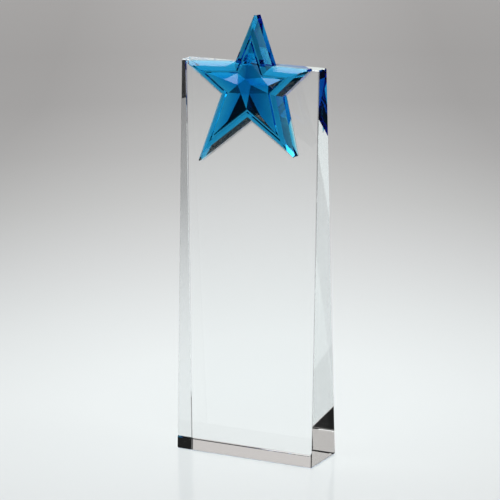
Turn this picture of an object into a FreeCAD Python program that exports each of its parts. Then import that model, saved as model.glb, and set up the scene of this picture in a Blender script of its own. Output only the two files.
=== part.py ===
import FreeCAD, Part
import math
import os

# Star trophy: a clear glass tower, thick at the foot and thin at the top, with a blue
# cut-glass star bonded to the upper end of its sloping front face.
#
# Frame: millimetres. The origin is the middle of the tower's underside, +Z is up, and
# the face that carries the star looks along -Y.

# --- Tower -----------------------------------------------------------------------------
TOWER_WIDTH = 90.0
TOWER_HEIGHT = 235.0
FOOT_DEPTH = 32.0          # front to back at the underside
TOP_DEPTH = 10.0           # front to back at the top
TOWER_EDGE = 0.5           # polished chamfer along every edge

# --- Star, drawn on the tower's front face ---------------------------------------------
# x runs across the face, y up the slope from the face's top edge. The five arms differ a
# little in length. Every list of five points goes clockwise from the top arm, and each
# corner lies between the arm of the same number and the next one.
ARM_TIPS = [(6.0, 31.5), (42.0, 1.0), (33.5, -52.0), (-30.5, -59.5), (-40.5, 0.0)]
ARM_CORNERS = [(17.5, 1.0), (24.5, -16.0), (4.0, -32.0), (-15.5, -18.0), (-6.5, 2.0)]
STAR_CENTRE = (5.0, -12.0)

# Heights are measured out from the star's back; widths are seen square to the face.
WALL_HEIGHT = 5.0          # square side wall
STEEP_BEVEL_WIDTH = 2.4    # first bevel inside the outline
STEEP_BEVEL_HEIGHT = 8.8
EASY_BEVEL_WIDTH = 2.3     # second, flatter bevel
RIM_HEIGHT = 10.0          # both lips of the groove that frames the raised cut
GROOVE_WALL_WIDTH = 0.4
GROOVE_FLOOR_WIDTH = 0.8
GROOVE_DEPTH = 1.1
SHOULDER_HEIGHT = 13.6     # where each arm's ridge changes slope
SHOULDERS = [(5.5, 6.0), (19.5, -9.0), (14.5, -26.5), (-8.0, -34.5), (-9.5, -7.6)]
TABLE_HEIGHT = 16.0        # five-sided table in the middle
TABLE_CORNERS = [(5.9, -6.0), (9.6, -9.0), (8.5, -14.2), (3.1, -14.6), (0.9, -9.7)]
TIP_TRIM = 1.8             # length ground off each sharp tip

# --- Adhesive --------------------------------------------------------------------------
BOND_THICKNESS = 0.1
BOND_MARGIN = 0.4          # the film stops short of the star's outline

ARMS = len(ARM_TIPS)
FACE_SLOPE = math.degrees(math.atan2((FOOT_DEPTH - TOP_DEPTH) / 2, TOWER_HEIGHT))


def on_face(lift):
    """Placement of the star's drawing plane, lifted off the tower's front face."""
    turn = FreeCAD.Rotation(FreeCAD.Vector(1, 0, 0), 90 - FACE_SLOPE)
    top_edge = FreeCAD.Vector(0, -TOP_DEPTH / 2, TOWER_HEIGHT)
    return FreeCAD.Placement(top_edge + turn.multVec(FreeCAD.Vector(0, 0, lift)), turn)


def at_height(points, height):
    return [FreeCAD.Vector(x, y, height) for x, y in points]


def star_outline():
    """The sharp outline: tip, corner, tip, corner, clockwise from the top arm."""
    outline = []
    for tip, corner in zip(ARM_TIPS, ARM_CORNERS):
        outline += [tip, corner]
    return outline


def inset(outline, width):
    """The clockwise outline with every side moved inwards by width."""
    count = len(outline)
    sides = []
    for i in range(count):
        start = FreeCAD.Vector(*outline[i], 0)
        along = FreeCAD.Vector(*outline[(i + 1) % count], 0) - start
        along.normalize()
        inwards = FreeCAD.Vector(along.y, -along.x, 0)
        sides.append((start + inwards * width, along))
    moved = []
    for i in range(count):
        start, along = sides[i - 1]
        other_start, other_along = sides[i]
        gap = other_start - start
        reach = gap.cross(other_along).z / along.cross(other_along).z
        point = start + along * reach
        moved.append((point.x, point.y))
    return moved


def face(points):
    return Part.Face(Part.makePolygon(points + [points[0]]))


def band(lower, upper):
    """Flat faces that join two loops with the same number of points."""
    count = len(lower)
    faces = []
    for i in range(count):
        j = (i + 1) % count
        faces.append(face([lower[i], lower[j], upper[j], upper[i]]))
    return faces


def cut_facets(rim):
    """Raised gem cut inside the rim: two facets an arm, three a corner, and a table."""
    tips = [rim[2 * i] for i in range(ARMS)]
    shoulders = at_height(SHOULDERS, SHOULDER_HEIGHT)
    table = at_height(TABLE_CORNERS, TABLE_HEIGHT)
    faces = [face(table)]
    for i in range(ARMS):
        j = (i + 1) % ARMS
        corner = rim[2 * i + 1]
        faces.append(face([tips[i], corner, shoulders[i]]))
        faces.append(face([shoulders[i], corner, table[i]]))
        faces.append(face([table[i], corner, table[j]]))
        faces.append(face([table[j], corner, shoulders[j]]))
        faces.append(face([shoulders[j], corner, tips[j]]))
    return faces


def tip_trimmer(tip):
    """Block that removes the end of an arm, square to the arm's axis."""
    size = 12.0
    axis = math.atan2(tip[1] - STAR_CENTRE[1], tip[0] - STAR_CENTRE[0])
    corner = FreeCAD.Vector(-TIP_TRIM, -size / 2, -TABLE_HEIGHT / 2)
    block = Part.makeBox(size, size, 2 * TABLE_HEIGHT, corner)
    turn = FreeCAD.Rotation(FreeCAD.Vector(0, 0, 1), math.degrees(axis))
    block.Placement = FreeCAD.Placement(FreeCAD.Vector(tip[0], tip[1], 0), turn)
    return block


def crystal_tower():
    profile = [
        FreeCAD.Vector(-TOWER_WIDTH / 2, -FOOT_DEPTH / 2, 0),
        FreeCAD.Vector(-TOWER_WIDTH / 2, FOOT_DEPTH / 2, 0),
        FreeCAD.Vector(-TOWER_WIDTH / 2, TOP_DEPTH / 2, TOWER_HEIGHT),
        FreeCAD.Vector(-TOWER_WIDTH / 2, -TOP_DEPTH / 2, TOWER_HEIGHT),
    ]
    tower = face(profile).extrude(FreeCAD.Vector(TOWER_WIDTH, 0, 0))
    return tower.makeChamfer(TOWER_EDGE, tower.Edges)


def blue_star():
    outline = star_outline()
    groove_edge = STEEP_BEVEL_WIDTH + EASY_BEVEL_WIDTH
    floor_edge = groove_edge + GROOVE_WALL_WIDTH
    floor_end = floor_edge + GROOVE_FLOOR_WIDTH
    groove_end = floor_end + GROOVE_WALL_WIDTH
    floor_height = RIM_HEIGHT - GROOVE_DEPTH
    loops = [
        at_height(outline, 0),
        at_height(outline, WALL_HEIGHT),
        at_height(inset(outline, STEEP_BEVEL_WIDTH), STEEP_BEVEL_HEIGHT),
        at_height(inset(outline, groove_edge), RIM_HEIGHT),
        at_height(inset(outline, floor_edge), floor_height),
        at_height(inset(outline, floor_end), floor_height),
        at_height(inset(outline, groove_end), RIM_HEIGHT),
    ]
    faces = [face(loops[0])]
    for lower, upper in zip(loops, loops[1:]):
        faces += band(lower, upper)
    faces += cut_facets(loops[-1])
    star = Part.Solid(Part.makeShell(faces))
    for tip in ARM_TIPS:
        star = star.cut(tip_trimmer(tip))
    star.Placement = on_face(BOND_THICKNESS)
    return star


def adhesive_film():
    """Clear film under the star, only where the star lies over the tower's flat face."""
    outline = at_height(inset(star_outline(), BOND_MARGIN), 0)
    film = face(outline).extrude(FreeCAD.Vector(0, 0, BOND_THICKNESS))
    flat_width = TOWER_WIDTH - 2 * TOWER_EDGE
    over_face = Part.makeBox(
        flat_width, TOWER_HEIGHT, 2 * BOND_THICKNESS,
        FreeCAD.Vector(-flat_width / 2, -TOWER_HEIGHT - TOWER_EDGE, -BOND_THICKNESS / 2))
    film = film.common(over_face)
    for tip in ARM_TIPS:
        film = film.cut(tip_trimmer(tip))
    film.Placement = on_face(0)
    return film


def write_part(node, shape):
    solids = shape.Solids
    assert len(solids) == 1 and solids[0].isValid(), node
    solid = solids[0]
    if solid.Volume < 0:
        solid.reverse()
    solid.exportStep(os.path.join("parts", node + ".step"))
    box = solid.BoundBox
    print(f"{node}: {solid.Volume / 1000:.2f} cm3, x {box.XMin:.1f}..{box.XMax:.1f}, "
          f"y {box.YMin:.1f}..{box.YMax:.1f}, z {box.ZMin:.1f}..{box.ZMax:.1f}")


os.makedirs("parts", exist_ok=True)
write_part("crystal_tower", crystal_tower())
write_part("blue_star", blue_star())
write_part("adhesive_film", adhesive_film())
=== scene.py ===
import math

import bmesh
import bpy
from mathutils import Matrix, Vector
from mathutils.geometry import delaunay_2d_cdt


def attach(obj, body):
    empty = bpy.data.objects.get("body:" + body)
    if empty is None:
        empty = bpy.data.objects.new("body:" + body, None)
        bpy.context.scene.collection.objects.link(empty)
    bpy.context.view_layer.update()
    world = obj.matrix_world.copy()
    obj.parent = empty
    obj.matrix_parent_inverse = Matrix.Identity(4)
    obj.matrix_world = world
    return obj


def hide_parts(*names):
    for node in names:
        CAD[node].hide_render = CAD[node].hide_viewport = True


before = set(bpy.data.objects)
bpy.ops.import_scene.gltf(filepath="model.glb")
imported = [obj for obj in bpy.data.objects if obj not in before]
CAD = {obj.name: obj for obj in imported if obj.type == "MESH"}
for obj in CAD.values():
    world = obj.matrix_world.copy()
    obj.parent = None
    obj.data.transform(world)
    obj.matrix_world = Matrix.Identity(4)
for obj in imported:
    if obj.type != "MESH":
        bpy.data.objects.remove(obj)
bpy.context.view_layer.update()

MM = 0.001
TOWER_EDGE = 0.08 * MM         # tiny flats along the polished edges
STAR_EDGE = 0.25 * MM
FILM_GAP = 0.02 * MM           # keeps the drawn film clear of the faces it joins
GLASS_IOR = 1.52
HAZE = 0.006                   # roughness of the haziest spots
TOWER_TINT = (0.80, 1.0, 0.94)
TOWER_DENSITY = 0.6
STAR_TINT = (0.125, 0.79, 0.937)
STAR_DENSITY = 440.0
SAME_POINT = 1e-6              # corners closer than this are one
FLAT_DEGREES = 0.5             # faces closer than this in angle are one flat facet
EDGE_DEGREES = 8               # edges sharper than this get a tiny flat
SAME_WAY = 0.999               # cosine above which a facet faces a given direction

# --- Camera: a long lens, a little above the trophy and to its right ---------------------
CAMERA_PLACE = (0.7896, -1.5028, 0.5428)
CAMERA_YAW = 27.81
CAMERA_PITCH = 13.87
CAMERA_ROLL = -0.38
SENSOR_WIDTH = 36.0
LENS = 214.0


def make_camera():
    data = bpy.data.cameras.new("camera")
    data.sensor_width = SENSOR_WIDTH
    data.lens = LENS
    camera = bpy.data.objects.new("camera", data)
    bpy.context.scene.collection.objects.link(camera)
    turn = (
        Matrix.Rotation(math.radians(CAMERA_YAW), 4, "Z")
        @ Matrix.Rotation(math.radians(90 - CAMERA_PITCH), 4, "X")
        @ Matrix.Rotation(math.radians(CAMERA_ROLL), 4, "Z")
    )
    camera.matrix_world = Matrix.Translation(CAMERA_PLACE) @ turn
    bpy.context.scene.camera = camera


# --- Small helpers for node trees --------------------------------------------------------
def new_tree(owner):
    owner.use_nodes = True
    owner.node_tree.nodes.clear()
    return owner.node_tree


def add(tree, kind, **values):
    node = tree.nodes.new(kind)
    for key, value in values.items():
        if hasattr(node, key):
            setattr(node, key, value)
        else:
            node.inputs[key.replace("_", " ")].default_value = value
    return node


def ramp(tree, source, stops):
    """Colour ramp fed by source; stops are (position, colour)."""
    node = tree.nodes.new("ShaderNodeValToRGB")
    elements = node.color_ramp.elements
    while len(elements) < len(stops):
        elements.new(0.5)
    for element, (position, colour) in zip(elements, stops):
        element.position = position
        element.color = (*colour, 1)
    tree.links.new(source, node.inputs["Fac"])
    return node.outputs["Color"]


def math_node(tree, operation, first, second=None):
    node = add(tree, "ShaderNodeMath", operation=operation)
    for socket, value in zip(node.inputs, (first, second)):
        if isinstance(value, bpy.types.NodeSocket):
            tree.links.new(value, socket)
        elif value is not None:
            socket.default_value = value
    return node.outputs[0]


def map_range(tree, value, low, high, top=1.0):
    """Value between low and high as 0 to top."""
    node = add(tree, "ShaderNodeMapRange")
    node.inputs["From Min"].default_value = low
    node.inputs["From Max"].default_value = high
    node.inputs["To Max"].default_value = top
    tree.links.new(value, node.inputs["Value"])
    return node.outputs["Result"]


def blend(tree, share, first, second):
    node = add(tree, "ShaderNodeMixShader")
    tree.links.new(share, node.inputs[0])
    tree.links.new(first, node.inputs[1])
    tree.links.new(second, node.inputs[2])
    return node.outputs[0]


# --- Crystal pieces ----------------------------------------------------------------------
def flat_facets(node):
    """The CAD node's mesh as whole flat facets."""
    mesh = bmesh.new()
    mesh.from_mesh(CAD[node].data)
    bmesh.ops.remove_doubles(mesh, verts=mesh.verts, dist=SAME_POINT)
    bmesh.ops.dissolve_limit(
        mesh, angle_limit=math.radians(FLAT_DEGREES), verts=mesh.verts, edges=mesh.edges)
    mesh.normal_update()
    return mesh


def largest_facing(mesh, direction):
    facing = [f for f in mesh.faces if f.normal.dot(direction) > SAME_WAY]
    return max(facing, key=lambda f: f.calc_area())


def imprint(mesh, host, outline, layer):
    """Splits the flat facet host along outline and marks what lies inside."""
    normal = host.normal.copy()
    origin = host.verts[0].co.copy()
    across = Vector((1, 0, 0))
    up = normal.cross(across)
    rim = list(host.verts)
    points = [v.co for v in rim] + list(outline)
    flat = [((p - origin).dot(across), (p - origin).dot(up)) for p in points]
    loops = [list(range(len(rim))), list(range(len(rim), len(points)))]
    made, _, triangles, from_points, _, from_loops = delaunay_2d_cdt(
        [Vector(p) for p in flat], [], loops, 1, 1e-7)
    corners = []
    for place, sources in zip(made, from_points):
        old = [i for i in sources if i < len(rim)]
        if old:
            corners.append(rim[old[0]])
        else:
            corners.append(mesh.verts.new(origin + across * place.x + up * place.y))
    bmesh.ops.delete(mesh, geom=[host], context="FACES_ONLY")
    for triangle, sources in zip(triangles, from_loops):
        facet = mesh.faces.new([corners[i] for i in triangle])
        facet.normal_update()
        if facet.normal.dot(normal) < 0:
            facet.normal_flip()
        facet[layer] = 1.0 if 1 in sources else 0.0


def front_normal():
    """Outward normal of the tower's sloping front face."""
    facing = [f for f in flat_facets("crystal_tower").faces if f.normal.y < -0.9]
    return max(facing, key=lambda f: f.calc_area()).normal.copy()


def make_piece(name, node, mesh, material):
    data = bpy.data.meshes.new(name)
    mesh.to_mesh(data)
    mesh.free()
    data.attributes.remove(data.attributes["custom_normal"])
    data.shade_flat()
    data.materials.append(material)
    piece = bpy.data.objects.new(name, data)
    bpy.context.scene.collection.objects.link(piece)
    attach(piece, "root")
    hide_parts(node)
    return piece


def crystal_piece(name, node, bonded_side, edge, material):
    """Visible copy of a CAD crystal whose flat bonded side is marked where the film lies."""
    mesh = flat_facets(node)
    film = flat_facets("adhesive_film")
    outline = [v.co.copy() for v in largest_facing(film, bonded_side).verts]
    layer = mesh.faces.layers.float.new("bonded")
    imprint(mesh, largest_facing(mesh, bonded_side), outline, layer)
    piece = make_piece(name, node, mesh, material)
    bevel = piece.modifiers.new("polished_edges", "BEVEL")
    bevel.width = edge
    bevel.segments = 1
    bevel.limit_method = "ANGLE"
    bevel.angle_limit = math.radians(EDGE_DEGREES)


def film_piece(name, node, out, material):
    """The film, a hair thinner than in the CAD model so that no two faces coincide."""
    mesh = flat_facets(node)
    middle = sum((v.co.dot(out) for v in mesh.verts)) / len(mesh.verts)
    for vertex in mesh.verts:
        side = 1 if vertex.co.dot(out) > middle else -1
        vertex.co -= out * side * FILM_GAP
    make_piece(name, node, mesh, material)


# --- Materials ---------------------------------------------------------------------------
def crystal(name, absorption, density):
    """Polished glass: faint polishing waves and haze, and no surface where it is bonded."""
    material = bpy.data.materials.new(name)
    tree = new_tree(material)
    output = add(tree, "ShaderNodeOutputMaterial")
    place = add(tree, "ShaderNodeTexCoord").outputs["Object"]
    waves = add(tree, "ShaderNodeTexNoise", Scale=55.0, Detail=1.0)
    tree.links.new(place, waves.inputs["Vector"])
    relief = add(tree, "ShaderNodeBump", Strength=0.05, Distance=0.2 * MM)
    tree.links.new(waves.outputs["Fac"], relief.inputs["Height"])
    haze = add(tree, "ShaderNodeTexNoise", Scale=400.0, Detail=4.0)
    tree.links.new(place, haze.inputs["Vector"])
    roughness = map_range(tree, haze.outputs["Fac"], 0.6, 0.8, HAZE)
    glass = add(tree, "ShaderNodeBsdfGlass", distribution="MULTI_GGX", IOR=GLASS_IOR)
    glass.inputs["Color"].default_value = (1, 1, 1, 1)
    tree.links.new(roughness, glass.inputs["Roughness"])
    tree.links.new(relief.outputs["Normal"], glass.inputs["Normal"])
    bonded = add(tree, "ShaderNodeAttribute", attribute_name="bonded")
    through = add(tree, "ShaderNodeBsdfTransparent")
    surface = blend(tree, bonded.outputs["Fac"], glass.outputs[0], through.outputs[0])
    tree.links.new(surface, output.inputs["Surface"])
    volume = add(tree, "ShaderNodeVolumeAbsorption")
    volume.inputs["Color"].default_value = (*absorption, 1)
    volume.inputs["Density"].default_value = density
    tree.links.new(volume.outputs[0], output.inputs["Volume"])
    return material


def adhesive():
    """Clear cured film with faint cloudy specks; it matches the glass, so it bends nothing."""
    material = bpy.data.materials.new("bond_film")
    tree = new_tree(material)
    output = add(tree, "ShaderNodeOutputMaterial")
    specks = add(tree, "ShaderNodeTexNoise", Scale=700.0, Detail=3.0)
    tree.links.new(add(tree, "ShaderNodeTexCoord").outputs["Object"], specks.inputs["Vector"])
    clear = add(tree, "ShaderNodeBsdfTransparent")
    tint = ramp(tree, specks.outputs["Fac"], [(0.3, (1.0, 1.0, 1.0)), (0.8, (0.96, 0.98, 0.99))])
    tree.links.new(tint, clear.inputs["Color"])
    tree.links.new(clear.outputs[0], output.inputs["Surface"])
    return material


# --- Stage -------------------------------------------------------------------------------
# The studio is laid out along the main camera's line of sight: AWAY points from that camera to
# the trophy over the floor, and SIDE points to its right. Both are fixed in the room.
AWAY = Vector((-math.sin(math.radians(CAMERA_YAW)), math.cos(math.radians(CAMERA_YAW)), 0))
SIDE = Vector((AWAY.y, -AWAY.x, 0))
UP = Vector((0, 0, 1))

FLOOR_RADIUS = 6.0
FLOOR_DROP = 0.3 * MM          # keeps an air gap under the polished foot
POOL_CENTRE = 0.12             # brightest spot of the painted pool of light, just behind the trophy along AWAY
POOL_REACH = 2.0               # distance from it where the last painted shade below is reached
# painted light: floor colour darkens with distance from the pool centre, standing in for a pool
# of light falling off
PAINTED_POOL_SHADES = [
    (0.0, (0.815, 0.865, 0.87)),
    (0.05, (0.80, 0.845, 0.85)),
    (0.115, (0.725, 0.76, 0.765)),
    (0.19, (0.63, 0.65, 0.655)),
    (0.275, (0.52, 0.53, 0.53)),
    (0.375, (0.41, 0.413, 0.413)),
    (0.49, (0.325, 0.326, 0.326)),
    (0.625, (0.29, 0.29, 0.29)),
    (0.80, (0.305, 0.305, 0.305)),
]
PAINTED_SIDE_FALLOFF = 0.32            # painted falloff: far behind the trophy, the painted light halves at this distance to a side
SIDE_LEAST = 0.72              # and no less than this share of it anywhere
SIDE_FADE = (0.1, 1.1)         # distances along AWAY between which that falloff sets in
PAPER_GRAIN = 0.02
EVEN_LIGHT = 1.13              # world as the floor sees it
CAMERA_GREY = 0.38             # world as the camera sees it
DARK_LEVEL = 0.015             # studio around the paper, as the glass sees it
PAPER_HALF_WIDTH = 0.67        # reflected light finds the floor dark beyond this to a side
PAPER_FRONT = -0.8             # and nearer the camera than this along AWAY
SOFTBOX_GLOW = 3.0
SOFTBOX_HEIGHT = 1.3
# name, near left corner along SIDE and AWAY, width, depth
SOFTBOXES = [
    ("front", (-1.0, 0.05), 0.8, 0.17),
    ("right", (-0.5, 0.36), 0.75, 0.32),
    ("left", (-0.9, 0.69), 0.6, 0.15),
]
BACKDROP_GLOW = 0.64
BACKDROP_PLACE = 2.5
BACKDROP_HEIGHT = 1.08
UNDER_GLOW = 0.95              # lit paper under the left two thirds of the foot
UNDER_CORNER = Vector((-42, -13, -0.15)) * MM
UNDER_WIDTH = 64 * MM
UNDER_DEPTH = 26 * MM
FILL_GLOW = 0.4                # upright card to the right of the trophy
FILL_CORNER = Vector((2.2, -1.6, 0.2))
FILL_LENGTH = 2.2
FILL_HEIGHT = 1.0


def stage_mesh(name, mesh, material):
    data = bpy.data.meshes.new(name)
    mesh.to_mesh(data)
    mesh.free()
    data.materials.append(material)
    piece = bpy.data.objects.new(name, data)
    bpy.context.scene.collection.objects.link(piece)
    return piece


def distance_along(tree, place, axis):
    node = add(tree, "ShaderNodeVectorMath", operation="DOT_PRODUCT")
    tree.links.new(place, node.inputs[0])
    node.inputs[1].default_value = axis
    return node.outputs["Value"]


def glow(tree, colour, strength):
    light = add(tree, "ShaderNodeEmission", Strength=strength)
    light.inputs["Color"].default_value = (*colour, 1)
    return light.outputs[0]


def scaled(tree, vector, share):
    node = add(tree, "ShaderNodeVectorMath", operation="SCALE")
    tree.links.new(vector, node.inputs[0])
    tree.links.new(share, node.inputs["Scale"])
    return node.outputs[0]


def paper_with_painted_light(tree, place, away, side):
    """Paper colour with a painted round pool of light and painted falloff to the sides, with a
    little grain.
    """
    reach = add(tree, "ShaderNodeVectorMath", operation="DISTANCE")
    tree.links.new(place, reach.inputs[0])
    reach.inputs[1].default_value = AWAY * POOL_CENTRE
    colour = ramp(tree, map_range(tree, reach.outputs["Value"], 0.0, POOL_REACH), PAINTED_POOL_SHADES)
    # painted shade towards the sides far behind the trophy
    wide = math_node(tree, "MULTIPLY", side, 1 / PAINTED_SIDE_FALLOFF)
    square = math_node(tree, "MULTIPLY", wide, wide)
    grown = math_node(tree, "MULTIPLY", square, map_range(tree, away, *SIDE_FADE))
    share = math_node(tree, "DIVIDE", 1.0, math_node(tree, "ADD", grown, 1.0))
    share = math_node(tree, "MAXIMUM", share, SIDE_LEAST)
    grain = add(tree, "ShaderNodeTexNoise", Scale=900.0, Detail=2.0)
    tree.links.new(place, grain.inputs["Vector"])
    fleck = math_node(tree, "MULTIPLY_ADD", grain.outputs["Fac"], PAPER_GRAIN)
    fleck.node.inputs[2].default_value = 1 - PAPER_GRAIN / 2
    return scaled(tree, scaled(tree, colour, share), fleck)


def floor_material():
    """Pale paper whose colour carries a painted pool of light. Reflected light finds it dark
    beyond its edges, and light that was mirrored before it entered any glass finds it dark
    everywhere."""
    material = bpy.data.materials.new("pale_floor")
    tree = new_tree(material)
    output = add(tree, "ShaderNodeOutputMaterial")
    surface = add(tree, "ShaderNodeBsdfPrincipled", Roughness=0.12, IOR=1.25)
    place = add(tree, "ShaderNodeNewGeometry").outputs["Position"]
    away = distance_along(tree, place, AWAY)
    side = distance_along(tree, place, SIDE)
    tree.links.new(paper_with_painted_light(tree, place, away, side), surface.inputs["Base Color"])
    beside = math_node(tree, "GREATER_THAN", math_node(tree, "ABSOLUTE", side), PAPER_HALF_WIDTH)
    before = math_node(tree, "LESS_THAN", away, PAPER_FRONT)
    outside = math_node(tree, "MAXIMUM", beside, before)
    path = add(tree, "ShaderNodeLightPath")
    reflected = math_node(tree, "GREATER_THAN", path.outputs["Glossy Depth"], 0.5)
    mirrored = math_node(tree, "LESS_THAN", path.outputs["Transmission Depth"], 0.5)
    dark = math_node(tree, "MULTIPLY", math_node(tree, "MAXIMUM", outside, mirrored), reflected)
    shader = blend(tree, dark, surface.outputs[0], glow(tree, (1, 1, 1), DARK_LEVEL))
    tree.links.new(shader, output.inputs["Surface"])
    return material


def make_floor():
    mesh = bmesh.new()
    bmesh.ops.create_circle(mesh, cap_ends=True, segments=128, radius=FLOOR_RADIUS)
    floor = stage_mesh("floor", mesh, floor_material())
    floor.location.z = -FLOOR_DROP


def glow_material(name, colour, strength):
    material = bpy.data.materials.new(name)
    tree = new_tree(material)
    output = add(tree, "ShaderNodeOutputMaterial")
    tree.links.new(glow(tree, colour, strength), output.inputs["Surface"])
    return material


def card(name, corner, along, up, material):
    """Flat card that only glass and gloss see."""
    mesh = bmesh.new()
    corners = [corner, corner + along, corner + along + up, corner + up]
    mesh.faces.new([mesh.verts.new(c) for c in corners])
    piece = stage_mesh(name, mesh, material)
    piece.visible_camera = False
    piece.visible_diffuse = False
    piece.visible_shadow = False


def make_cards():
    backdrop = glow_material("backdrop", (1.0, 0.965, 0.94), BACKDROP_GLOW)
    card("backdrop", AWAY * BACKDROP_PLACE - SIDE * PAPER_HALF_WIDTH,
         SIDE * 2 * PAPER_HALF_WIDTH, UP * BACKDROP_HEIGHT, backdrop)
    under = glow_material("lit_paper_under_foot", (0.92, 1.0, 0.98), UNDER_GLOW)
    card("lit_paper_under_foot", UNDER_CORNER,
         Vector((UNDER_WIDTH, 0, 0)), Vector((0, UNDER_DEPTH, 0)), under)
    fill = glow_material("side_fill", (1, 1, 1), FILL_GLOW)
    card("side_fill", FILL_CORNER, Vector((0, FILL_LENGTH, 0)), UP * FILL_HEIGHT, fill)
    softbox = glow_material("softbox", (1, 1, 1), SOFTBOX_GLOW)
    height = UP * SOFTBOX_HEIGHT
    for name, place, width, depth in SOFTBOXES:
        card("softbox_" + name, height + SIDE * place[0] + AWAY * place[1],
             SIDE * width, AWAY * depth, softbox)


def make_world():
    """Even light for the floor, a dark studio for glass and gloss, grey for the camera."""
    world = bpy.data.worlds.new("studio")
    bpy.context.scene.world = world
    tree = new_tree(world)
    output = add(tree, "ShaderNodeOutputWorld")
    path = add(tree, "ShaderNodeLightPath")
    shades = []
    for strength in (DARK_LEVEL, CAMERA_GREY, EVEN_LIGHT):
        node = add(tree, "ShaderNodeBackground", Strength=strength)
        node.inputs["Color"].default_value = (1, 1, 1, 1)
        shades.append(node.outputs[0])
    seen = blend(tree, path.outputs["Is Camera Ray"], shades[0], shades[1])
    bounced = math_node(tree, "GREATER_THAN", path.outputs["Diffuse Depth"], 0.5)
    tree.links.new(blend(tree, bounced, seen, shades[2]), output.inputs["Surface"])


make_camera()
make_floor()
make_cards()
make_world()
bpy.context.scene.view_settings.view_transform = "Standard"
bpy.context.scene.cycles.blur_glossy = 0.0
bpy.context.scene.cycles.max_bounces = 24
bpy.context.scene.cycles.transmission_bounces = 24
bpy.context.scene.cycles.glossy_bounces = 16
bpy.context.scene.cycles.transparent_max_bounces = 24

out = front_normal()
crystal_piece("tower", "crystal_tower", out, TOWER_EDGE,
              crystal("tower_glass", TOWER_TINT, TOWER_DENSITY))
crystal_piece("star", "blue_star", -out, STAR_EDGE,
              crystal("star_glass", STAR_TINT, STAR_DENSITY))
film_piece("bond_film", "adhesive_film", out, adhesive())
